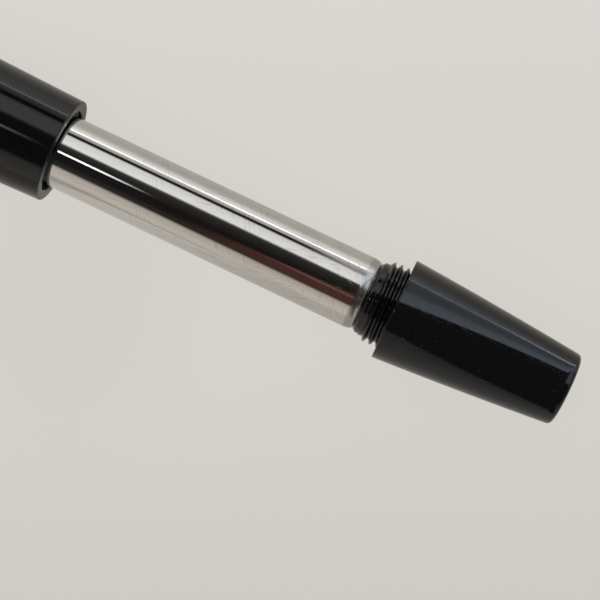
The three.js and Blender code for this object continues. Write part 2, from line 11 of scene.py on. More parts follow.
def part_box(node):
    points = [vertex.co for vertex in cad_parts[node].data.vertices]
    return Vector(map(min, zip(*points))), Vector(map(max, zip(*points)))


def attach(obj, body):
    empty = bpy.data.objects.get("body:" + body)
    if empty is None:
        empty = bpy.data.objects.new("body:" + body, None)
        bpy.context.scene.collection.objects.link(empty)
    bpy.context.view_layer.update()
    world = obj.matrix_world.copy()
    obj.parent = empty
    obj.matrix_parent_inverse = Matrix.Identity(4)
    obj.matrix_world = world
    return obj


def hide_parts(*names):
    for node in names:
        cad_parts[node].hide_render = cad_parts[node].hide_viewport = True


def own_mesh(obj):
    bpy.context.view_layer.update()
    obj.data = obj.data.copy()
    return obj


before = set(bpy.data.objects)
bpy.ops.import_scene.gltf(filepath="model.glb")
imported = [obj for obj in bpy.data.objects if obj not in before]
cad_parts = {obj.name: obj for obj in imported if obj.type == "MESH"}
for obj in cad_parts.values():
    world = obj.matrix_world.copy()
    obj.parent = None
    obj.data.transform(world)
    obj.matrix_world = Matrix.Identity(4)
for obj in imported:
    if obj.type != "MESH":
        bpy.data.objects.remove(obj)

bl_info = {
    "name": "Lead Holder",
    "version": (1, 0, 0),
    "blender": (4, 5, 0),
    "location": "View3D > Sidebar > Lead Holder",
    "description": "Builds a lead holder and its stage",
    "category": "Add Mesh",
}

MM = 0.001
ALONG = Vector((1, 0, 0))

# Angle between the flanks of the threads and a plane square to the axis.
FLANK = math.radians(30)


def station(node, end):
    """Where a node of the frame starts (end 0) or ends (end 1) along the holder."""
    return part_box(node)[end].x


def span(node):
    """Where a node of the frame starts and ends along the holder."""
    return station(node, 0), station(node, 1)


def axis_point():
    """A point on the axis that everything is turned about."""
    low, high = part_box("barrel")
    return Vector((0, 0, (low.z + high.z) / 2))


AXIS = axis_point()


# ---------------------------------------------------------------- sizes and colours


def length(name, millimetres, description):
    """A length property whose default is given in millimetres."""
    return FloatProperty(
        name=name, description=description, default=millimetres * MM, unit="LENGTH", precision=5
    )


def colour(name, value, description):
    """A colour property in linear light."""
    return FloatVectorProperty(
        name=name, description=description, default=value, subtype="COLOR", size=3, min=0, max=4
    )


class HolderSizes(bpy.types.PropertyGroup):
    """Radii, lengths and roundings of the pieces."""

    spin_steps: IntProperty(
        name="Spin steps", description="Steps in a full turn of every turned piece", default=160
    )
    seat: length("Seat", 0.05, "Room left where one piece sits on another")
    sunk: length("Sunk depth", 0.1, "How far a thread's foot is sunk into its piece")
    crisp_edge: length("Crisp edge", 0.04, "Rounding of the sharpest edges")
    soft_edge: length("Soft edge", 0.06, "Rounding of small edges")
    eased_edge: length("Eased edge", 0.08, "Rounding of middling edges")
    plain_edge: length("Plain edge", 0.1, "Rounding of most edges")
    round_edge: length("Round edge", 0.12, "Rounding of the softest edges")
    barrel_radius: length("Barrel radius", 6.7, "Outside of the barrel's middle")
    barrel_front_radius: length("Barrel front radius", 6.45, "Outside of the barrel at the grip")
    barrel_mouth_radius: length("Barrel mouth radius", 6.15, "Outside of the barrel at its mouth")
    rear_taper: length("Rear taper", 18, "Length over which the barrel narrows to its mouth")
    front_taper: length("Front taper", 12, "Length over which the barrel narrows to the grip")
    front_blend: length("Front blend", 5, "Rounding of the front taper's start")
    rear_blend: length("Rear blend", 7, "Rounding of the rear taper's start")
    rim_break: length("Rim break", 0.15, "Rounding of the barrel's rims")
    mouth_bore_radius: length("Mouth bore radius", 5.05, "Bore at the barrel's mouth")
    thread_bore_radius: length("Thread bore radius", 4.935, "Bottom of the barrel's thread")
    thread_bore_length: length("Thread bore length", 4.2, "Depth of the barrel's thread")
    throat_radius: length("Throat radius", 4.45, "Narrow bore behind the thread")
    throat_depth: length("Throat depth", 8, "Length of the narrow bore and its thread")
    seal_groove_radius: length("Seal groove radius", 5.38, "Bottom of the O-ring's groove")
    seal_groove_depth: length("Seal groove depth", 5.6, "Distance of the O-ring from the mouth")
    seal_groove_width: length("Seal groove width", 1.2, "Width of the O-ring's groove")
    magazine_bore_radius: length("Magazine bore radius", 4.95, "Bore the magazine slides in")
    feed_bore_radius: length("Feed bore radius", 4.63, "Bore ahead of the magazine")
    feed_bore_length: length("Feed bore length", 30.02, "Length of the bore ahead of the magazine")
    tube_radius: length("Tube radius", 4.25, "Outside of the magazine tube")
    tube_bore_radius: length("Tube bore radius", 3.75, "Bore of the magazine tube")
    tube_shoulder: length("Tube shoulder", 1.2, "Length of the tube's rounded end")
    tube_shoulder_drop: length("Tube shoulder drop", 0.35, "Height of the tube's rounded end")
    neck_radius: length("Neck radius", 3.3, "Outside of the neck the knob sits on")
    neck_bore_radius: length("Neck bore radius", 2.9, "Bore of the neck")
    neck_length: length("Neck length", 5.7, "Length of the neck")
    flange_radius: length("Flange radius", 4.5, "Outside of the tube's front flange")
    flange_width: length("Flange width", 0.5, "Width of the tube's front flange")
    spring_wire: length("Spring wire", 0.4, "Thickness of the magazine spring's wire")
    spring_turns: IntProperty(
        name="Spring turns", description="Turns of the magazine spring", default=5
    )
    clip_groove_depth: length("Clip groove depth", 0.2, "Depth of the snap ring's groove")
    pilot_radius: length("Pilot radius", 4.3, "Plain ring ahead of the knob's thread")
    pilot_chamfer: length("Pilot chamfer", 0.4, "Chamfer of the plain ring")
    pilot_edge: length("Pilot edge", 0.05, "Rounding of the plain ring's front")
    tail_pitch: length("Tail pitch", 0.84, "Pitch of the knob's thread")
    tail_root_radius: length("Tail root radius", 4.35, "Bottom of the knob's thread")
    tail_crest_radius: length("Tail crest radius", 4.835, "Top of the knob's thread")
    tail_crest_width: length("Tail crest width", 0.16, "Flat on top of the knob's thread")
    tail_thread_length: length("Tail thread length", 2.5, "Length of the knob's thread")
    tail_turns: IntProperty(
        name="Tail turns", description="Turns that screw the knob home", default=3
    )
    mouth_crest_width: length("Mouth crest width", 0.052, "Flat on top of the mouth's thread")
    home_gap: length("Home gap", 0.15, "Where the knob's face stops behind the barrel's node")
    face_gap: length("Face gap", 0.07, "Gap from the mouth to the face of a knob that is home")
    knob_length: length("Knob length", 21.25, "Length of the knob behind its thread")
    knob_face_radius: length("Knob face radius", 6.0, "Knob at its face")
    knob_end_radius: length("Knob end radius", 4.25, "Knob at its flat end")
    knob_face_break: length("Knob face break", 0.15, "Rounding of the knob's face")
    knob_end_round: length("Knob end round", 0.5, "Rounding of the knob's flat end")
    knob_crown: FloatProperty(
        name="Knob crown", description="How far the knob's taper bulges", default=0.206
    )
    stem_bore_radius: length("Stem bore radius", 3.65, "Bore of the grip and the trim band")
    trim_radius: length("Trim radius", 6.5, "Outside of the trim band")
    trim_line: length("Trim line", 0.08, "Depth of the line turned round the trim band")
    grip_rear_radius: length("Grip rear radius", 6.35, "Outside of the grip at the trim band")
    grip_front_radius: length("Grip front radius", 4.6, "Outside of the grip at the nose")
    flute_inset: length("Flute inset", 2.2, "Distance of the first flute from the grip's front")
    flute_pitch: length("Flute pitch", 1.6, "Distance between the grip's flutes")
    flute_width: length("Flute width", 0.7, "Width of a flute")
    flute_depth: length("Flute depth", 0.3, "Depth of a flute")
    nose_radius: length("Nose radius", 4.5, "Outside of the nose's knurled band")
    nose_band: length("Nose band", 5.5, "Length of the nose's knurled band")
    nose_step: length("Nose step", 0.1, "Drop from the knurled band to the nose's cone")
    nose_tip_radius: length("Nose tip radius", 1.7, "Nose at its tip")
    nose_bore_radius: length("Nose bore radius", 1.15, "Hole in the nose's tip")
    nose_tip_break: length("Nose tip break", 0.15, "Rounding of the nose's tip")
    nose_chamber_radius: length("Nose chamber radius", 3.68, "Bore of the nose")
    nose_thrust: length("Nose thrust", 1.3, "Width of the face behind the closing ring")
    lead_radius: length("Lead radius", 1.0, "Outside of the lead")
    lead_point: length("Lead point", 3, "Length of the lead's point")
    lead_point_radius: length("Lead point radius", 0.2, "Lead at its point")


class HolderColours(bpy.types.PropertyGroup):
    """Colours of the finishes, in linear light."""

    resin: colour("Resin", (0.003, 0.003, 0.0033), "Polished black resin")
    worn_resin: colour("Worn resin", (0.04, 0.037, 0.034), "Black resin rubbed dull")
    dust: colour("Dust", (0.2, 0.185, 0.17), "Dust and lint")
    chrome: colour("Chrome", (0.68, 0.665, 0.645), "Chromium plate")
    worn_chrome: colour("Worn chrome", (0.36, 0.345, 0.33), "Plate worn on the tube's shoulder")
    smear: colour("Smear", (0.5, 0.475, 0.445), "Handling marks on the plate")
    nick: colour("Nick", (0.16, 0.15, 0.14), "Nicks and dents in the plate")
    brass: colour("Brass", (0.56, 0.38, 0.13), "Turned brass")
    steel: colour("Steel", (0.38, 0.38, 0.39), "Spring steel")
    nylon: colour("Nylon", (0.69, 0.65, 0.54), "Natural nylon")
    rubber: colour("Rubber", (0.012, 0.012, 0.012), "Black rubber")
    graphite: colour("Graphite", (0.035, 0.035, 0.04), "Pencil lead")
    floor: colour("Floor", (0.692, 0.67, 0.622), "The pale surface it lies on")
    # Painted light and painted shade: the floor is painted paler away from the viewer and darker
    # close to the viewer.
    floor_far_painted_light: colour("Far floor", (0.71, 0.702, 0.665), "The surface away from the viewer")
    floor_near_painted_shade: colour("Near floor", (0.62, 0.6, 0.555), "The surface close to the viewer")


# ---------------------------------------------------------------- turning


def spun(corners, steps):
    """Turns an outline about the axis. A corner is (along, radius) or (along, radius, rounding)."""
    bm = bmesh.new()
    verts = [bm.verts.new((corner[0], AXIS.y, AXIS.z + corner[1])) for corner in corners]
    hollow = min(corner[1] for corner in corners) > 0
    loop = verts + verts[:1] if hollow else verts
    for pair in zip(loop, loop[1:]):
        bm.edges.new(pair)
    for vert, corner in zip(verts, corners):
        if len(corner) == 3:
            bmesh.ops.bevel(
                bm,
                geom=[vert],
                offset=corner[2],
                segments=6,
                profile=0.5,
                affect="VERTICES",
                material=-1,
            )
    bmesh.ops.spin(
        bm,
        geom=bm.verts[:] + bm.edges[:],
        cent=AXIS,
        axis=ALONG,
        angle=math.tau,
        steps=steps,
        use_merge=True,
    )
    bmesh.ops.remove_doubles(bm, verts=bm.verts, dist=MM / 1000)
    bmesh.ops.recalc_face_normals(bm, faces=bm.faces)
    return bm


def flanked(middle, width, top, bottom, under):
    """A ridge's section, with a flat top of the given width, and half the length of its foot."""
    crest = width / 2
    foot = crest + abs(top - bottom) * math.tan(FLANK)
    sides = [(foot, under), (foot, bottom), (crest, top)]
    front = [(middle - along, radius) for along, radius in sides]
    rear = [(middle + along, radius) for along, radius in reversed(sides)]
    return front + rear, foot


def wind(bm, section, pitch, turns, steps_per_turn=96):
    """Winds a right-handed ridge of the given (along, radius) section, starting on top."""
    verts = [bm.verts.new((x, AXIS.y, AXIS.z + radius)) for x, radius in section]
    face = bm.faces.new(verts)
    made = bmesh.ops.spin(
        bm,
        geom=[face, *face.verts, *face.edges],
        cent=AXIS,
        axis=ALONG,
        dvec=(pitch / steps_per_turn, 0, 0),
        angle=math.tau * turns,
        steps=round(turns * steps_per_turn),
    )
    ends = {item for item in made["geom_last"] if isinstance(item, bmesh.types.BMFace)}
    return ends | {face}


def limit_radius(verts, allowed):
    """Moves each vertex to the radius that allowed(along, radius) gives for it."""
    for vert in verts:
        out = vert.co - AXIS
        out.x = 0
        radius = out.length
        wanted = allowed(vert.co.x, radius)
        if abs(wanted - radius) > MM / 1e6:
            vert.co += out * (wanted / radius - 1)


def ridge(section, pitch, turns, allowed):
    """A wound ridge as a closed shell of its own, held to the allowed radius."""
    bm = bmesh.new()
    wind(bm, section, pitch, turns)
    limit_radius(bm.verts, allowed)
    bmesh.ops.recalc_face_normals(bm, faces=bm.faces)
    return bm


def piece(name, shells, body, node, material, sharp=32):
    """Makes one object of the shells, riding a body in place of a node of the frame."""
    mesh = bpy.data.meshes.new(name)
    whole = bmesh.new()
    for shell in shells:
        shell.to_mesh(mesh)
        shell.free()
        whole.from_mesh(mesh)
        mesh.clear_geometry()
    for face in whole.faces:
        face.smooth = True
    for edge in whole.edges:
        edge.smooth = edge.calc_face_angle(0) < math.radians(sharp)
    whole.to_mesh(mesh)
    whole.free()
    obj = bpy.data.objects.new(name, mesh)
    bpy.context.scene.collection.objects.link(obj)
    mesh.materials.append(material)
    weighted = obj.modifiers.new("Weighted normals", "WEIGHTED_NORMAL")
    weighted.keep_sharp = True
    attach(obj, body)
    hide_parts(node)
    return obj


# ---------------------------------------------------------------- shader nodes


class Signal:
    """An output socket that takes part in ordinary arithmetic."""

    def __init__(self, tree, socket):
        self.tree = tree
        self.socket = socket

    def _with(self, operation, *values):
        return self.tree.node(
            "ShaderNodeMath", {"operation": operation}, dict(enumerate((self, *values)))
        )

    def __add__(self, other):
        return self._with("ADD", other)

    def __sub__(self, other):
        return self._with("SUBTRACT", other)

    def __mul__(self, other):
        return self._with("MULTIPLY", other)

    def __truediv__(self, other):
        return self._with("DIVIDE", other)

    def __abs__(self):
        return self._with("ABSOLUTE")

    def __radd__(self, other):
        return self + other

    def __rmul__(self, other):
        return self * other

    def __rsub__(self, other):
        return self * -1 + other

    def lesser(self, other):
        return self._with("MINIMUM", other)

    def greater(self, other):
        return self._with("MAXIMUM", other)


class Tree:
    """A node tree that is built node by node."""

    def __init__(self, owner):
        owner.use_nodes = True
        self.tree = owner.node_tree
        self.tree.nodes.clear()

    def node(self, kind, settings=None, sockets=None, output=0):
        """Adds a node, sets its settings and sockets and returns one of its outputs."""
        made = self.tree.nodes.new(kind)
        for name, value in (settings or {}).items():
            if name == "stops":
                self._set_stops(made.color_ramp.elements, value)
            else:
                setattr(made, name, value)
        for key, value in (sockets or {}).items():
            if isinstance(value, Signal):
                self.tree.links.new(value.socket, made.inputs[key])
            else:
                made.inputs[key].default_value = value
        return Signal(self, made.outputs[output]) if made.outputs else None

    def _set_stops(self, elements, stops):
        while len(elements) < len(stops):
            elements.new(0.5)
        for element, (position, value) in zip(elements, stops):
            element.position = position
            element.color = (*value, 1)

    def step(self, value, low, high, start=0, end=1):
        """Goes smoothly from start to end as the value goes from low to high."""
        return self.node(
            "ShaderNodeMapRange",
            {"interpolation_type": "SMOOTHSTEP"},
            {"Value": value, "From Min": low, "From Max": high, "To Min": start, "To Max": end},
        )

    def mix(self, factor, first, second):
        """Mixes two colours."""
        colours = [value if isinstance(value, Signal) else (*value, 1) for value in (first, second)]
        sockets = {0: factor, 6: colours[0], 7: colours[1]}
        return self.node("ShaderNodeMix", {"data_type": "RGBA"}, sockets, output=2)

    def round_axis(self, angle, profile):
        """A colour for each angle, from (degrees, colour) pairs in rising order."""
        low, high = profile[0][0], profile[-1][0]
        stops = [((degrees - low) / (high - low), value) for degrees, value in profile]
        share = (angle - low) / (high - low)
        return self.node("ShaderNodeValToRGB", {"stops": stops}, {0: share})

    def placed(self, point, **sockets):
        """A point scaled, turned and moved, in that order."""
        return self.node("ShaderNodeMapping", sockets={"Vector": point, **sockets})

    def millimetres(self):
        """Object coordinates in millimetres, measured from the axis."""
        coordinates = self.node("ShaderNodeTexCoord", output="Object")
        return self.placed(coordinates, Location=-AXIS / MM, Scale=(1 / MM,) * 3)

    def parts(self, vector):
        """The three parts of a vector."""
        return [self.node("ShaderNodeSeparateXYZ", sockets={0: vector}, output=i) for i in range(3)]

    def along_and_round(self, vector):
        """A vector's part along the axis, and its angle round the axis from straight up."""
        x, y, z = self.parts(vector)
        return x, self.node("ShaderNodeMath", {"operation": "ARCTAN2"}, {0: y * -1, 1: z})

    def unrolled(self, point, radius):
        """A point's place on a cylinder of the given radius, laid flat."""
        x, angle = self.along_and_round(point)
        return self.node("ShaderNodeCombineXYZ", sockets={"X": x, "Y": angle * radius})

    def grain(self, point, scale, turn=(0, 0, 0), detail=3.0):
        """Noise stretched by the inverse of a scale per axis, after a turn in degrees."""
        turned = self.placed(point, Rotation=[math.radians(angle) for angle in turn])
        placed = self.placed(turned, Scale=scale)
        sockets = {"Vector": placed, "Scale": 1.0, "Detail": detail, "Roughness": 0.55}
        return self.node("ShaderNodeTexNoise", sockets=sockets)

    def specks(self, point, scale, size, share):
        """Small round spots, on only a share of the cells."""
        sockets = {"Vector": self.placed(point, Scale=(scale,) * 3), "Scale": 1.0}
        distance = self.node("ShaderNodeTexVoronoi", sockets=sockets, output="Distance")
        tone = self.node("ShaderNodeTexVoronoi", sockets=sockets, output="Color")
        chosen = self.step(tone, 1 - share, 1 - share + 0.02)
        return self.step(distance, size, size / 2) * chosen

    def bump(self, height, distance, normal=None):
        """A normal disturbed by a height from 0 to 1 that stands for a distance in metres."""
        sockets = {"Height": height, "Distance": distance, "Strength": 1.0}
        if normal:
            sockets["Normal"] = normal
        return self.node("ShaderNodeBump", sockets=sockets)

    def surface(self, **sockets):
        """Ends a material with one principled shader."""
        named = {name.replace("_", " "): value for name, value in sockets.items()}
        shader = self.node("ShaderNodeBsdfPrincipled", sockets=named)
        self.node("ShaderNodeOutputMaterial", sockets={"Surface": shader})


def material(name):
    """A new material and its tree."""
    made = bpy.data.materials.new(name)
    return made, Tree(made)


# ---------------------------------------------------------------- finishes


def resin(name, colours, wear, dull_from=None):
    """Polished black resin with fine scratches and a little dust; wear runs from 0 to 1.

    From dull_from, in millimetres along the holder, its surface is left as the tool cut it.
    """
    made, tree = material(name)
    point = tree.millimetres()
    along = tree.grain(point, (0.25, 9, 9), (0, 0, 14))
    across = tree.grain(point, (0.3, 12, 12), (0, 24, -38))
    hairs = tree.step(along, 0.62, 0.7) + tree.step(across, 0.64, 0.7)
    cloud = tree.grain(point, (0.5, 0.5, 0.5), detail=4)
    patches = tree.grain(point, (1.6, 2.2, 2.2), detail=5)
    rubbed = tree.step(patches, 0.75 - 0.35 * wear, 0.8 - 0.2 * wear)
    dust = (tree.specks(point, 1.3, 0.09, 0.12) + tree.specks(point, 2.7, 0.1, 0.05)).lesser(1)
    base = tree.mix(rubbed, colours.resin, colours.worn_resin)
    base = tree.mix(dust * 0.55, base, colours.dust)
    roughness = 0.012 + 0.015 * cloud + 0.03 * hairs + (0.1 + 0.3 * wear) * rubbed + 0.5 * dust
    if dull_from is not None:
        x, _, _ = tree.parts(point)
        roughness = roughness + 0.3 * tree.step(x, dull_from, dull_from + 0.02)
    ripples = tree.bump(tree.grain(point, (1.2, 1.2, 1.2), detail=2), 0.0008 * MM)
    normal = tree.bump(hairs, 0.0006 * MM, normal=ripples)
    tree.surface(Base_Color=base, Roughness=roughness.lesser(0.9), IOR=1.45, Normal=normal)
    return made


def chrome(sizes, colours):
    """Chromium plate with lengthwise hairlines, slanting handling marks and a few nicks."""
    made, tree = material("Chromium plate")
    point = tree.millimetres()
    sheet = tree.unrolled(point, sizes.tube_radius / MM)
    x, _, _ = tree.parts(point)
    handled = tree.step(x, 38, 60, 0.4, 1)
    shoulder = tree.step(x, 72.9, 73.4)

    streaks = tree.step(tree.grain(sheet, (0.02, 1.7, 1), detail=4), 0.35, 0.7)
    drawn = tree.grain(sheet, (0.1, 14, 1))
    slanting = tree.grain(sheet, (0.35, 5.5, 1), (0, 0, 16), detail=5)
    crossing = tree.grain(sheet, (0.3, 4.5, 1), (0, 0, -62), detail=5)
    patches = tree.grain(sheet, (0.16, 0.3, 1), detail=2)
    smears = tree.step(slanting, 0.5, 0.66) * tree.step(patches, 0.42, 0.56)
    smears = smears + tree.step(crossing, 0.52, 0.66) * tree.step(patches, 0.5, 0.38)
    smears = smears * handled

    nicks = tree.specks(sheet, 0.8, 0.11, 0.12) * tree.step(x, 56, 66)
    dents = tree.step(tree.grain(sheet, (1.1, 5, 1), (0, 0, 8)), 0.66, 0.7)
    dents = dents * tree.step(x, 60, 70)
    scuffs = tree.step(tree.grain(sheet, (0.9, 4, 1), (0, 0, -20), detail=4), 0.58, 0.66)
    scuffs = scuffs * tree.step(x, 66.5, 73.5)

    base = tree.mix((smears * 0.8 + streaks * 0.25).lesser(1), colours.chrome, colours.smear)
    base = tree.mix((nicks + dents).lesser(1) * 0.65, base, colours.nick)
    base = tree.mix(shoulder * 0.7, base, colours.worn_chrome)
    roughness = 0.02 + 0.012 * drawn + 0.05 * smears + 0.28 * scuffs + 0.2 * nicks
    roughness = roughness + 0.2 * shoulder
    waves = tree.bump(tree.grain(sheet, (0.08, 0.6, 1), detail=1), 0.003 * MM)
    normal = tree.bump(drawn + slanting, 0.0006 * MM, normal=waves)
    tree.surface(Base_Color=base, Metallic=1.0, Roughness=roughness.lesser(0.6), Normal=normal)
    return made


def turned_metal(name, base, roughness):
    """Turned metal with rings left by the tool and small dull patches."""
    made, tree = material(name)
    point = tree.millimetres()
    rings = tree.grain(point, (14, 0.3, 0.3), detail=2)
    cloud = tree.grain(point, (0.8, 0.8, 0.8), detail=4)
    dull = tree.step(cloud, 0.55, 0.7)
    tone = tree.mix(dull * 0.6, base, [0.72 * share for share in base])
    roughness = roughness + 0.1 * rings + 0.12 * dull
    normal = tree.bump(rings, 0.004 * MM)
    tree.surface(Base_Color=tone, Metallic=1.0, Roughness=roughness, Normal=normal)
    return made


def moulded(name, base, roughness, fineness):
    """A soft matt material with a fine grain."""
    made, tree = material(name)
    point = tree.millimetres()
    grain = tree.grain(point, (fineness,) * 3, detail=4)
    cloud = tree.grain(point, (0.6, 0.6, 0.6))
    tone = tree.mix(cloud, [0.82 * share for share in base], base)
    normal = tree.bump(grain, 0.01 * MM)
    tree.surface(Base_Color=tone, Roughness=roughness + 0.12 * grain, Normal=normal)
    return made


def graphite(colours):
    """Pencil lead: dark grey with a dull metallic sheen and drawn lines."""
    made, tree = material("Graphite")
    point = tree.millimetres()
    drawn = tree.grain(point, (0.3, 14, 14), detail=4)
    tone = tree.mix(drawn, [0.7 * share for share in colours.graphite], colours.graphite)
    normal = tree.bump(drawn, 0.006 * MM)
    tree.surface(Base_Color=tone, Metallic=0.35, Roughness=0.34 + 0.2 * drawn, Normal=normal)
    return made


# ---------------------------------------------------------------- pieces


def build_barrel(sizes, colours):
    """The polished barrel, bored through and threaded at its mouth."""
    front, home = station("barrel", 0), station("barrel", 1) + sizes.home_gap
    mouth = home - sizes.face_gap
    thread_end = mouth - sizes.thread_bore_length
    throat_end = mouth - sizes.throat_depth
    groove_rear = mouth - sizes.seal_groove_depth + sizes.seal_groove_width / 2
    groove_front = groove_rear - sizes.seal_groove_width
    step = front + sizes.feed_bore_length
    chamfer = sizes.mouth_bore_radius - sizes.thread_bore_radius
    shell = spun(
        [
            (front, sizes.barrel_front_radius, sizes.rim_break),
            (front + sizes.front_taper, sizes.barrel_radius, sizes.front_blend),
            (mouth - sizes.rear_taper, sizes.barrel_radius, sizes.rear_blend),
            (mouth, sizes.barrel_mouth_radius, sizes.rim_break),
            (mouth, sizes.mouth_bore_radius, sizes.soft_edge),
            (mouth - chamfer, sizes.thread_bore_radius),
            (thread_end, sizes.thread_bore_radius),
            (thread_end, sizes.throat_radius),
            (groove_rear, sizes.throat_radius),
            (groove_rear, sizes.seal_groove_radius),
            (groove_front, sizes.seal_groove_radius),
            (groove_front, sizes.throat_radius),
            (throat_end, sizes.throat_radius),
            (throat_end, sizes.magazine_bore_radius),
            (step, sizes.magazine_bore_radius),
            (step, sizes.feed_bore_radius),
            (front, sizes.feed_bore_radius, sizes.soft_edge),
        ],
        sizes.spin_steps,
    )
    bottom = sizes.thread_bore_radius
    # Half a pitch off the knob's ridge when the knob is home. It starts inside the throat.
    start = home - sizes.tail_thread_length + (1 / 4 - sizes.tail_turns) * sizes.tail_pitch
    top, under = sizes.throat_radius, bottom + sizes.sunk
    section, foot = flanked(start, sizes.mouth_crest_width, top, bottom, under)
    turns = (mouth - start - foot - sizes.seat) / sizes.tail_pitch

    def opened(along, radius):
        if along < thread_end:
            return max(radius, top + sizes.sunk)
        return max(radius, min(sizes.mouth_bore_radius - (mouth - along), under))

    thread = ridge(section, sizes.tail_pitch, turns, opened)
    dull_from = (mouth - sizes.seat) / MM
    finish = resin("Black resin, barrel", colours, 0.12, dull_from)
    piece("polished_barrel", [shell, thread], "holder", "barrel", finish)


def build_tube(sizes, colours):
    """The chromed magazine tube, with its front flange, rounded shoulder and neck."""
    front, end = span("magazine_tube")
    flange_rear = front + sizes.flange_width
    clip_front = station("snap_ring", 0) - sizes.seat
    clip_rear = station("snap_ring", 1) + sizes.seat
    clip_radius = sizes.tube_radius - sizes.clip_groove_depth
    neck_start = end - sizes.neck_length
    shoulder_start = neck_start - sizes.tube_shoulder
    shoulder = [
        (
            shoulder_start + sizes.tube_shoulder * math.sin(math.radians(angle)),
            sizes.tube_radius - sizes.tube_shoulder_drop * (1 - math.cos(math.radians(angle))),
        )
        for angle in range(0, 91, 9)
    ]
    shell = spun(
        [
            (front, sizes.flange_radius, sizes.eased_edge),
            (flange_rear, sizes.flange_radius, sizes.eased_edge),
            (flange_rear, sizes.tube_radius),
            (clip_front, sizes.tube_radius),
            (clip_front, clip_radius),
            (clip_rear, clip_radius),
            (clip_rear, sizes.tube_radius),
            *shoulder,
            (neck_start, sizes.neck_radius),
            (end, sizes.neck_radius, sizes.plain_edge),
            (end, sizes.neck_bore_radius),
            (shoulder_start, sizes.neck_bore_radius),
            (shoulder_start, sizes.tube_bore_radius),
            (front, sizes.tube_bore_radius),
        ],
        sizes.spin_steps,
    )
    finish = chrome(sizes, colours)
    piece("chromed_tube", [shell], "magazine", "magazine_tube", finish)


def build_spring(sizes, colours):
    """The spring behind the guide bush."""
    front, rear = span("magazine_spring")
    low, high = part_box("magazine_spring")
    wire = sizes.spring_wire / 2
    middle = front + wire
    coil = (high.y - low.y) / 2 - wire
    points = 10
    angles = [math.tau * point / points for point in range(points)]
    section = [(middle - wire * math.cos(angle), coil + wire * math.sin(angle)) for angle in angles]
    bm = bmesh.new()
    pitch = (rear - front - sizes.spring_wire) / sizes.spring_turns
    wind(bm, section, pitch, sizes.spring_turns, 48)
    bmesh.ops.recalc_face_normals(bm, faces=bm.faces)
    finish = turned_metal("Spring wire", colours.steel, 0.28)
    coiled = piece("magazine_coil", [bm], "guide", "magazine_spring", finish, sharp=50)
    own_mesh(coiled)


def build_knob(sizes, colours):
    """The tapered tail knob with its thread and the plain ring ahead of it."""
    start, end = span("tail_knob")
    face = end - sizes.knob_length
    pilot_rear = face - sizes.tail_thread_length
    socket = sizes.neck_radius + sizes.seat
    socket_end = station("magazine_tube", 1) + sizes.seat

    def side(share):
        fall = (1 - sizes.knob_crown) * share + sizes.knob_crown * share * share
        radius = sizes.knob_face_radius + (sizes.knob_end_radius - sizes.knob_face_radius) * fall
        return face + sizes.knob_length * share, radius

    shell = spun(
        [
            (socket_end, 0),
            (socket_end, socket),
            (start, socket),
            (start, sizes.pilot_radius - sizes.pilot_chamfer, sizes.pilot_edge),
            (start + sizes.pilot_chamfer, sizes.pilot_radius, sizes.round_edge),
            (pilot_rear, sizes.pilot_radius, sizes.crisp_edge),
            (pilot_rear + sizes.seat, sizes.tail_root_radius),
            (face, sizes.tail_root_radius),
            (face, sizes.knob_face_radius, sizes.knob_face_break),
            # Close to the face, so that the shading of its rounding doesn't spread.
            side(0.015),
            *[side(step / 20) for step in range(1, 20)],
            (end, sizes.knob_end_radius, sizes.knob_end_round),
            (end, 0),
        ],
        sizes.spin_steps,
    )
    root = sizes.tail_root_radius
    top, under = sizes.tail_crest_radius, root - sizes.sunk
    middle = pilot_rear - sizes.tail_pitch / 4
    section, _ = flanked(middle, sizes.tail_crest_width, top, root, under)
    turns = sizes.tail_thread_length / sizes.tail_pitch + 0.75

    def run_in(along, radius):
        return min(radius, max(under, root + along - pilot_rear))

    thread = ridge(section, sizes.tail_pitch, turns, run_in)
    finish = resin("Black resin, knob", colours, 0.2)
    piece("turned_knob", [shell, thread], "magazine", "tail_knob", finish)


def build_grip(sizes, colours):
    """The fluted grip, narrowing to the nose in a hollow curve."""
    front, rear = span("grip_section")

    def side(along, cut=0.0):
        share = (rear - along) / (rear - front)
        fall = math.sin(share * math.pi / 2)
        radius = sizes.grip_rear_radius + (sizes.grip_front_radius - sizes.grip_rear_radius) * fall
        return along, radius - cut

    outline = [(*side(front), sizes.round_edge)]
    flutes = 5
    for flute in range(flutes):
        start = front + sizes.flute_inset + flute * sizes.flute_pitch
        for share in range(9):
            depth = sizes.flute_depth * math.sin(math.pi * share / 8)
            outline.append(side(start + sizes.flute_width * share / 8, depth))
    last = outline[-1][0]
    outline += [side(last + (rear - last) * share / 14) for share in range(1, 14)]
    outline += [
        (*side(rear), sizes.plain_edge),
        (rear, sizes.stem_bore_radius),
        (front, sizes.stem_bore_radius),
    ]
    finish = resin("Black resin, grip", colours, 0.16)
    shell = spun(outline, sizes.spin_steps)
    piece("fluted_grip", [shell], "holder", "grip_section", finish)


def build_trim(sizes, colours):
    """The narrow trim band between the barrel and the grip, with a line turned round it."""
    front, rear = span("trim_ring")
    middle = (front + rear) / 2
    shell = spun(
        [
            (front, sizes.trim_radius, sizes.round_edge),
            (middle - sizes.trim_line, sizes.trim_radius),
            (middle, sizes.trim_radius - sizes.trim_line),
            (middle + sizes.trim_line, sizes.trim_radius),
            (rear, sizes.trim_radius, sizes.round_edge),
            (rear, sizes.stem_bore_radius),
            (front, sizes.stem_bore_radius),
        ],
        sizes.spin_steps,
    )
    finish = turned_metal("Polished steel band", colours.chrome, 0.1)
    piece("trim_band", [shell], "holder", "trim_ring", finish)


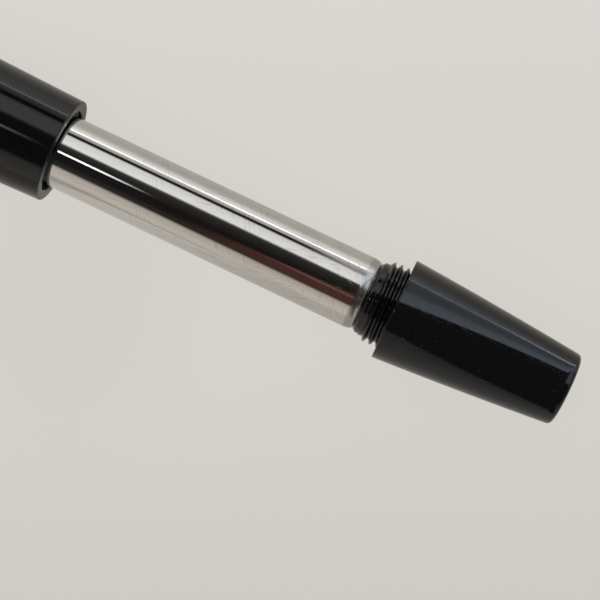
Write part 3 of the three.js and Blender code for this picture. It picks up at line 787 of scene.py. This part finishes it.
def build_nose(sizes, colours):
    """The nose: a knurled band to turn it by, and a pointed cone bored for the lead."""
    tip, rear = span("nose_cap")
    band_front = rear - sizes.nose_band
    band_radius = sizes.nose_radius - sizes.nose_step
    thrust = station("closing_ring", 0) - 2 * sizes.seat
    collet_tip = station("collet", 0) - 2 * sizes.seat
    room = sizes.nose_chamber_radius - sizes.nose_thrust

    def cone(share):
        fall = 0.6 * share + 0.4 * share * share
        radius = band_radius - (band_radius - sizes.nose_tip_radius) * fall
        return band_front - (band_front - tip) * share, radius

    knurl_steps = 13
    knurl_front = band_front + 3 * sizes.nose_step
    knurl_rear = rear - 3 * sizes.nose_step
    knurl = [
        (knurl_front + (knurl_rear - knurl_front) * step / knurl_steps, sizes.nose_radius)
        for step in range(knurl_steps + 1)
    ]
    outline = [
        (tip, sizes.nose_tip_radius, sizes.nose_tip_break),
        *[cone(1 - step / 24) for step in range(1, 24)],
        cone(0),
        (band_front + sizes.nose_step, sizes.nose_radius - sizes.nose_step / 2),
        *knurl,
        (rear - sizes.nose_step, sizes.nose_radius - sizes.nose_step / 2),
        (rear, sizes.nose_radius - 2 * sizes.nose_step),
        (rear, sizes.nose_chamber_radius + 2 * sizes.nose_step),
        (rear - 3 * sizes.nose_step, sizes.nose_chamber_radius),
        (thrust, sizes.nose_chamber_radius),
        (thrust, room),
        (collet_tip, room),
        (collet_tip - (room - sizes.nose_bore_radius), sizes.nose_bore_radius),
        (tip, sizes.nose_bore_radius),
    ]
    steps = 64
    shell = spun(outline, steps)
    rows = {round(x / MM, 4): number for number, (x, _) in enumerate(knurl)}
    valleys = []
    for vert in shell.verts:
        row = rows.get(round(vert.co.x / MM, 4))
        out = vert.co - AXIS
        out.x = 0
        if row is None or out.length < sizes.nose_radius * 0.99:
            continue
        column = round(math.atan2(out.y, out.z) / math.tau * steps)
        if (row + column) % 2 or row in (0, knurl_steps):
            vert.co -= out * 0.03
            valleys.append(vert)
    low = set(valleys)
    grid = [face for face in shell.faces if sum(vert in low for vert in face.verts) in (2, 3)]
    for face in grid:
        corners = face.verts[:]
        opposite = [pair for pair in (corners[0::2], corners[1::2]) if low.issuperset(pair)]
        if len(corners) == 4 and opposite:
            bmesh.ops.connect_verts(shell, verts=opposite[0])
    finish = turned_metal("Satin steel nose", colours.steel, 0.26)
    piece("knurled_nose", [shell], "nose", "nose_cap", finish, sharp=24)


def build_lead(sizes, colours):
    """The working lead, sharpened at its front."""
    tip, rear = span("lead")
    shell = spun(
        [
            (tip, 0),
            (tip, sizes.lead_point_radius, sizes.soft_edge),
            (tip + sizes.lead_point, sizes.lead_radius, sizes.plain_edge),
            (rear, sizes.lead_radius, sizes.eased_edge),
            (rear, 0),
        ],
        64,
    )
    piece("working_lead", [shell], "lead", "lead", graphite(colours))


def finish_inner_nodes(colours):
    """Gives every node that keeps its own mesh a finished material."""
    brass = turned_metal("Turned brass", colours.brass, 0.24)
    steel = turned_metal("Spring steel", colours.steel, 0.28)
    nylon = moulded("Natural nylon", colours.nylon, 0.42, 6)
    rubber = moulded("Black rubber", colours.rubber, 0.62, 12)
    lead = graphite(colours)
    kinds = {
        "collet": brass,
        "closing_ring": steel,
        "collet_spring": steel,
        "snap_ring": steel,
        "guide_bush": brass,
        "lead_guide_tube": brass,
        "chuck_body": brass,
        "feed_funnel": nylon,
        "throat_o_ring": rubber,
        "lead_cushion": rubber,
    }
    for name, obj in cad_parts.items():
        kind = lead if name.startswith("spare_lead") else kinds.get(name)
        if kind:
            obj.data.materials.clear()
            obj.data.materials.append(kind)


# ---------------------------------------------------------------- stage


SEEN_BY = ("Is Camera Ray", "Is Glossy Ray")


def build_floor(colours):
    """The pale surface, which keeps a faint shadow; painted light brightens it away from the
    viewer, and painted shade darkens it near the viewer, beside the barrel's mouth and where the
    polished pieces mirror it.
    """
    mesh = bpy.data.meshes.new("floor")
    bm = bmesh.new()
    bmesh.ops.create_grid(bm, x_segments=1, y_segments=1, size=1.5)
    bm.to_mesh(mesh)
    bm.free()
    floor = bpy.data.objects.new("floor", mesh)
    bpy.context.scene.collection.objects.link(floor)
    made, tree = material("Pale surface")
    point = tree.millimetres()
    # Across the view, from the near side to the far: painted shade on the near side and painted
    # light on the far side.
    _, across, _ = tree.parts(tree.placed(point, Rotation=(0, 0, math.radians(-25.2))))
    tone = tree.mix(tree.step(across, -75, -25, 1, 0), colours.floor, colours.floor_near_painted_shade)
    tone = tree.mix(tree.step(across, -12, 14), tone, colours.floor_far_painted_light)
    x, y, _ = tree.parts(point)
    path = {name: tree.node("ShaderNodeLightPath", output=name) for name in SEEN_BY}
    # What the polished pieces mirror: under the tube, under the barrel, beyond them and far off. It
    # is painted shade under and beside the holder and painted light far off, seen only in
    # reflections.
    mirrored = tree.mix(tree.step(x, 36, 74), (0.665, 0.64, 0.59), (0.52, 0.5, 0.46))
    mirrored = tree.mix(tree.step(x, 30, 36, 1, 0), mirrored, (0.45, 0.42, 0.37))
    mirrored = tree.mix(tree.step(y, -4, 4), mirrored, (0.53, 0.51, 0.47))
    mirrored = tree.mix(tree.step(y, 25, 120), mirrored, (0.85, 0.83, 0.8))
    tone = tree.mix(path["Is Glossy Ray"], tone, mirrored)
    # Painted shade: a dimmer patch beside the barrel's mouth.
    patch = {0: point, 1: (42, -15, 0)}
    distance = tree.node("ShaderNodeVectorMath", {"operation": "DISTANCE"}, patch, "Value")
    tone = tree.mix(tree.step(distance, 3, 24, 0.55, 0), tone, (0.6, 0.585, 0.55))
    cloud = tree.grain(point, (0.05, 0.05, 0.05), detail=2)
    tone = tree.mix(cloud * 0.1, tone, [0.9 * share for share in colours.floor])
    diffuse = tree.node("ShaderNodeBsdfDiffuse", sockets={"Color": tone})
    glow = tree.node("ShaderNodeEmission", sockets={"Color": tone, "Strength": 1.0})
    seen = path["Is Camera Ray"].greater(path["Is Glossy Ray"])
    surface = tree.node("ShaderNodeMixShader", sockets={0: seen * 0.9, 1: diffuse, 2: glow})
    tree.node("ShaderNodeOutputMaterial", sockets={"Surface": surface})
    mesh.materials.append(made)
    return floor


# What the polished surfaces see of the room, by degrees round the axis from straight up,
# below zero on the +Y side.
ROOM = [
    (-100, (0.75, 0.73, 0.7)),
    (-90, (0.85, 0.83, 0.8)),
    (-83, (1.1, 1.085, 1.06)),
    (-78, (1.04, 1.03, 1.01)),
    (-73, (0.72, 0.71, 0.7)),
    (-67, (0.5, 0.5, 0.49)),
    (-64.5, (0.4, 0.4, 0.39)),
    (-62.5, (0.02, 0.02, 0.02)),
    (-56.2, (0.01, 0.01, 0.01)),
    (-54.6, (0.2, 0.21, 0.2)),
    (-52.6, (0.75, 0.75, 0.73)),
    (-48, (0.94, 0.94, 0.91)),
    (-36, (1.03, 1.04, 1.02)),
    (-24, (1.03, 1.04, 1.01)),
    (-20.4, (0.31, 0.31, 0.3)),
    (-17.6, (0.05, 0.05, 0.05)),
    (-10, (0.03, 0.03, 0.03)),
    (12, (0.014, 0.011, 0.01)),
    (30, (0.014, 0.011, 0.011)),
    (40, (0.03, 0.028, 0.026)),
    (47, (0.03, 0.028, 0.026)),
    (50, (0.16, 0.145, 0.13)),
    (53, (0.42, 0.38, 0.335)),
    (57, (0.57, 0.52, 0.46)),
    (75, (0.67, 0.62, 0.555)),
    (90, (0.66, 0.62, 0.56)),
    (100, (0.66, 0.62, 0.56)),
]

# The same towards the +X end of the holder, which has a window above it.
WINDOW_SIDE = [
    (-110, (0.8, 0.8, 0.78)),
    (-92, (0.85, 0.9, 0.95)),
    (-82, (1.2, 1.35, 1.55)),
    (-75, (1.1, 1.25, 1.4)),
    (-66, (0.7, 0.8, 0.9)),
    (-50, (0.8, 0.92, 1.05)),
    (-43, (1.15, 1.35, 1.55)),
    (-30, (1.45, 1.7, 2.0)),
    (-19.5, (1.55, 1.8, 2.15)),
    (-17, (0.6, 0.7, 0.8)),
    (-15, (0.05, 0.055, 0.065)),
    (0, (0.055, 0.042, 0.038)),
    (20, (0.05, 0.034, 0.031)),
    (49, (0.04, 0.04, 0.04)),
    (53, (0.35, 0.35, 0.35)),
    (75, (0.5, 0.49, 0.48)),
    (90, (0.5, 0.47, 0.44)),
]


def room_seen(tree, x, angle):
    """The room beside the holder. x is the part of a direction that runs along the holder."""
    room = tree.round_axis(angle, ROOM)
    filled_gap = tree.step(abs(angle + 60), 3, 6, 1, 0) * tree.step(x, -0.06, -0.03)
    room = tree.mix(filled_gap * 0.35, room, (1.0, 1.0, 1.0))
    strip = tree.step(abs(angle - 5.5), 1.6, 3.4, 1, 0) * tree.step(x, -0.19, -0.145, 1, 0)
    room = tree.mix(strip, room, (2.1, 2.25, 2.35))

    # A red-brown patch whose upper edge slants along the holder, with a paler stripe in it.
    patch = tree.step(angle + 140 * x, 8.5, 11.5) * tree.step(angle, 45, 47, 1, 0)
    patch = patch * tree.step(x, -0.14, -0.06) * tree.step(x, 0.0, 0.04, 1, 0)
    room = tree.mix(patch, room, (0.085, 0.036, 0.03))
    stripe = tree.step(abs(angle - 23), 1.2, 3.5, 1, 0) * tree.step(x, -0.08, -0.04)
    room = tree.mix(stripe * patch, room, (0.2, 0.105, 0.09))

    wall = tree.step(angle, 12, 25) * tree.step(x, -0.85, -0.5, 1, 0)
    return tree.mix(wall, room, (0.5, 0.48, 0.45))


def window_seen(tree, x, angle, room):
    """Adds the window's side of the room, whose edges lean in towards the knob's flat end."""
    lean = (x - 0.125).greater(0).lesser(0.2)
    behind = ((angle + 282 * lean) / (1 - 2.93 * lean)).lesser(-12)
    before = (angle - 262 * lean).greater(0)
    front_share = tree.step(angle, -1, 1)
    upright = behind * (1 - front_share) + before * front_share
    window = tree.round_axis(upright, WINDOW_SIDE)
    room = tree.mix(tree.step(x, 0.02, 0.1) * tree.step(x, 0.32, 0.42, 1, 0), room, window)

    glare = tree.step(x, 0.3, 0.36) * tree.step(x, 0.4, 0.5, 1, 0)
    glare = glare * tree.step(angle, -90, -80) * tree.step(angle, -26, -16, 1, 0)
    room = tree.mix(glare, room, (1.1, 1.2, 1.3))

    bright = tree.mix(tree.step(x, 0.16, 0.28), (3.2, 3.4, 3.6), (8.5, 9.0, 9.6))
    line = tree.step(abs(angle + 77 + 55 * lean), 0.6, 1.3, 1, 0) * tree.step(x, 0.3, 0.36, 1, 0)
    room = tree.mix(line, room, bright)
    return tree.mix(tree.step(x, 0.5, 0.8) * 0.55, room, (0.25, 0.24, 0.23))


def build_world():
    """The room: an even light, and panels and dark gaps for the polished surfaces to show."""
    world = bpy.data.worlds.new("Room")
    bpy.context.scene.world = world
    tree = Tree(world)
    x, angle = tree.along_and_round(tree.node("ShaderNodeTexCoord", output="Generated"))
    angle = angle * math.degrees(1)
    room = window_seen(tree, x, angle, room_seen(tree, x, angle))
    path = {name: tree.node("ShaderNodeLightPath", output=name) for name in SEEN_BY}
    plain = tree.mix(path["Is Camera Ray"], (0.8, 0.79, 0.77), (0.665, 0.645, 0.6))
    seen = tree.mix(path["Is Glossy Ray"], plain, room)
    background = tree.node("ShaderNodeBackground", sockets={"Color": seen, "Strength": 1.0})
    tree.node("ShaderNodeOutputWorld", sockets={"Surface": background})


def build_lamp():
    """One large soft lamp overhead, which the polished surfaces don't show."""
    lamp = bpy.data.lights.new("soft_lamp", "AREA")
    lamp.shape = "DISK"
    lamp.size = 0.8
    distance = 0.9
    lamp.energy = 2.47 * distance**2
    obj = bpy.data.objects.new("soft_lamp", lamp)
    bpy.context.scene.collection.objects.link(obj)
    obj.location = (-0.25, -0.35, 0.8)
    obj.rotation_mode = "QUATERNION"
    obj.rotation_quaternion = (-obj.location).to_track_quat("-Z", "Y")
    obj.visible_glossy = False
    return obj


def build_camera():
    """The camera, above the knob and looking down, turned so the holder runs down to the right."""
    place = Vector((0.07765, 0, 0.2127))
    aim = Vector((0.06766, -0.00366, 0.0067))
    back = (place - aim).normalized()
    level = (ALONG - back * ALONG.dot(back)).normalized()
    rise = back.cross(level)
    roll = math.radians(25.44)
    right = level * math.cos(roll) + rise * math.sin(roll)
    turned = Matrix((right, back.cross(right), back)).transposed().to_4x4()
    camera = bpy.data.cameras.new("camera")
    camera.lens = 109.8
    camera.sensor_width = 36
    obj = bpy.data.objects.new("camera", camera)
    bpy.context.scene.collection.objects.link(obj)
    obj.matrix_world = Matrix.Translation(place) @ turned
    bpy.context.scene.camera = obj
    return obj


def build_stage(colours):
    """Floor, room, lamp and camera, with colours shown as written."""
    build_floor(colours)
    build_lamp()
    build_camera()
    build_world()
    bpy.context.scene.view_settings.view_transform = "Standard"


# ---------------------------------------------------------------- operators


class HolderOperator:
    """What the operators share: undo, and a build that reads the scene's sizes and colours."""

    bl_options = {"REGISTER", "UNDO"}

    def execute(self, context):
        self.build(context.scene.holder_sizes, context.scene.holder_colours)
        return {"FINISHED"}


class HOLDER_OT_barrel(HolderOperator, bpy.types.Operator):
    """Builds the polished barrel with its threaded mouth"""

    bl_idname = "holder.barrel"
    bl_label = "Barrel"

    def build(self, sizes, colours):
        build_barrel(sizes, colours)


class HOLDER_OT_tube(HolderOperator, bpy.types.Operator):
    """Builds the chromed magazine tube and the spring round it"""

    bl_idname = "holder.tube"
    bl_label = "Magazine tube and spring"

    def build(self, sizes, colours):
        build_tube(sizes, colours)
        build_spring(sizes, colours)


class HOLDER_OT_knob(HolderOperator, bpy.types.Operator):
    """Builds the tail knob and its thread"""

    bl_idname = "holder.knob"
    bl_label = "Tail knob"

    def build(self, sizes, colours):
        build_knob(sizes, colours)


class HOLDER_OT_grip(HolderOperator, bpy.types.Operator):
    """Builds the fluted grip and the trim band behind it"""

    bl_idname = "holder.grip"
    bl_label = "Grip and trim band"

    def build(self, sizes, colours):
        build_grip(sizes, colours)
        build_trim(sizes, colours)


class HOLDER_OT_nose(HolderOperator, bpy.types.Operator):
    """Builds the knurled nose and the lead that stands out of it"""

    bl_idname = "holder.nose"
    bl_label = "Nose and lead"

    def build(self, sizes, colours):
        build_nose(sizes, colours)
        build_lead(sizes, colours)


class HOLDER_OT_inner(HolderOperator, bpy.types.Operator):
    """Finishes the springs, bushes, spare leads and other inner pieces"""

    bl_idname = "holder.inner"
    bl_label = "Inner pieces"

    def build(self, sizes, colours):
        finish_inner_nodes(colours)


class HOLDER_OT_stage(HolderOperator, bpy.types.Operator):
    """Sets up the floor, the room, the lamp and the camera"""

    bl_idname = "holder.stage"
    bl_label = "Stage"

    def build(self, sizes, colours):
        build_stage(colours)


OPERATORS = (
    HOLDER_OT_barrel,
    HOLDER_OT_tube,
    HOLDER_OT_knob,
    HOLDER_OT_grip,
    HOLDER_OT_nose,
    HOLDER_OT_inner,
    HOLDER_OT_stage,
)


class HOLDER_PT_panel(bpy.types.Panel):
    """Lists the operators and the colours"""

    bl_idname = "HOLDER_PT_panel"
    bl_label = "Lead Holder"
    bl_space_type = "VIEW_3D"
    bl_region_type = "UI"
    bl_category = "Lead Holder"

    def draw(self, context):
        for operator in OPERATORS:
            self.layout.operator(operator.bl_idname)
        for name in HolderColours.__annotations__:
            self.layout.prop(context.scene.holder_colours, name)


CLASSES = (HolderSizes, HolderColours, *OPERATORS, HOLDER_PT_panel)


def register():
    for cls in CLASSES:
        bpy.utils.register_class(cls)
    bpy.types.Scene.holder_sizes = PointerProperty(type=HolderSizes)
    bpy.types.Scene.holder_colours = PointerProperty(type=HolderColours)


def unregister():
    del bpy.types.Scene.holder_colours
    del bpy.types.Scene.holder_sizes
    for cls in reversed(CLASSES):
        bpy.utils.unregister_class(cls)


def main():
    """Builds everything in order."""
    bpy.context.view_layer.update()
    register()
    bpy.ops.holder.barrel()
    bpy.ops.holder.tube()
    bpy.ops.holder.knob()
    bpy.ops.holder.grip()
    bpy.ops.holder.nose()
    bpy.ops.holder.inner()
    bpy.ops.holder.stage()


if __name__ == "__main__":
    main()
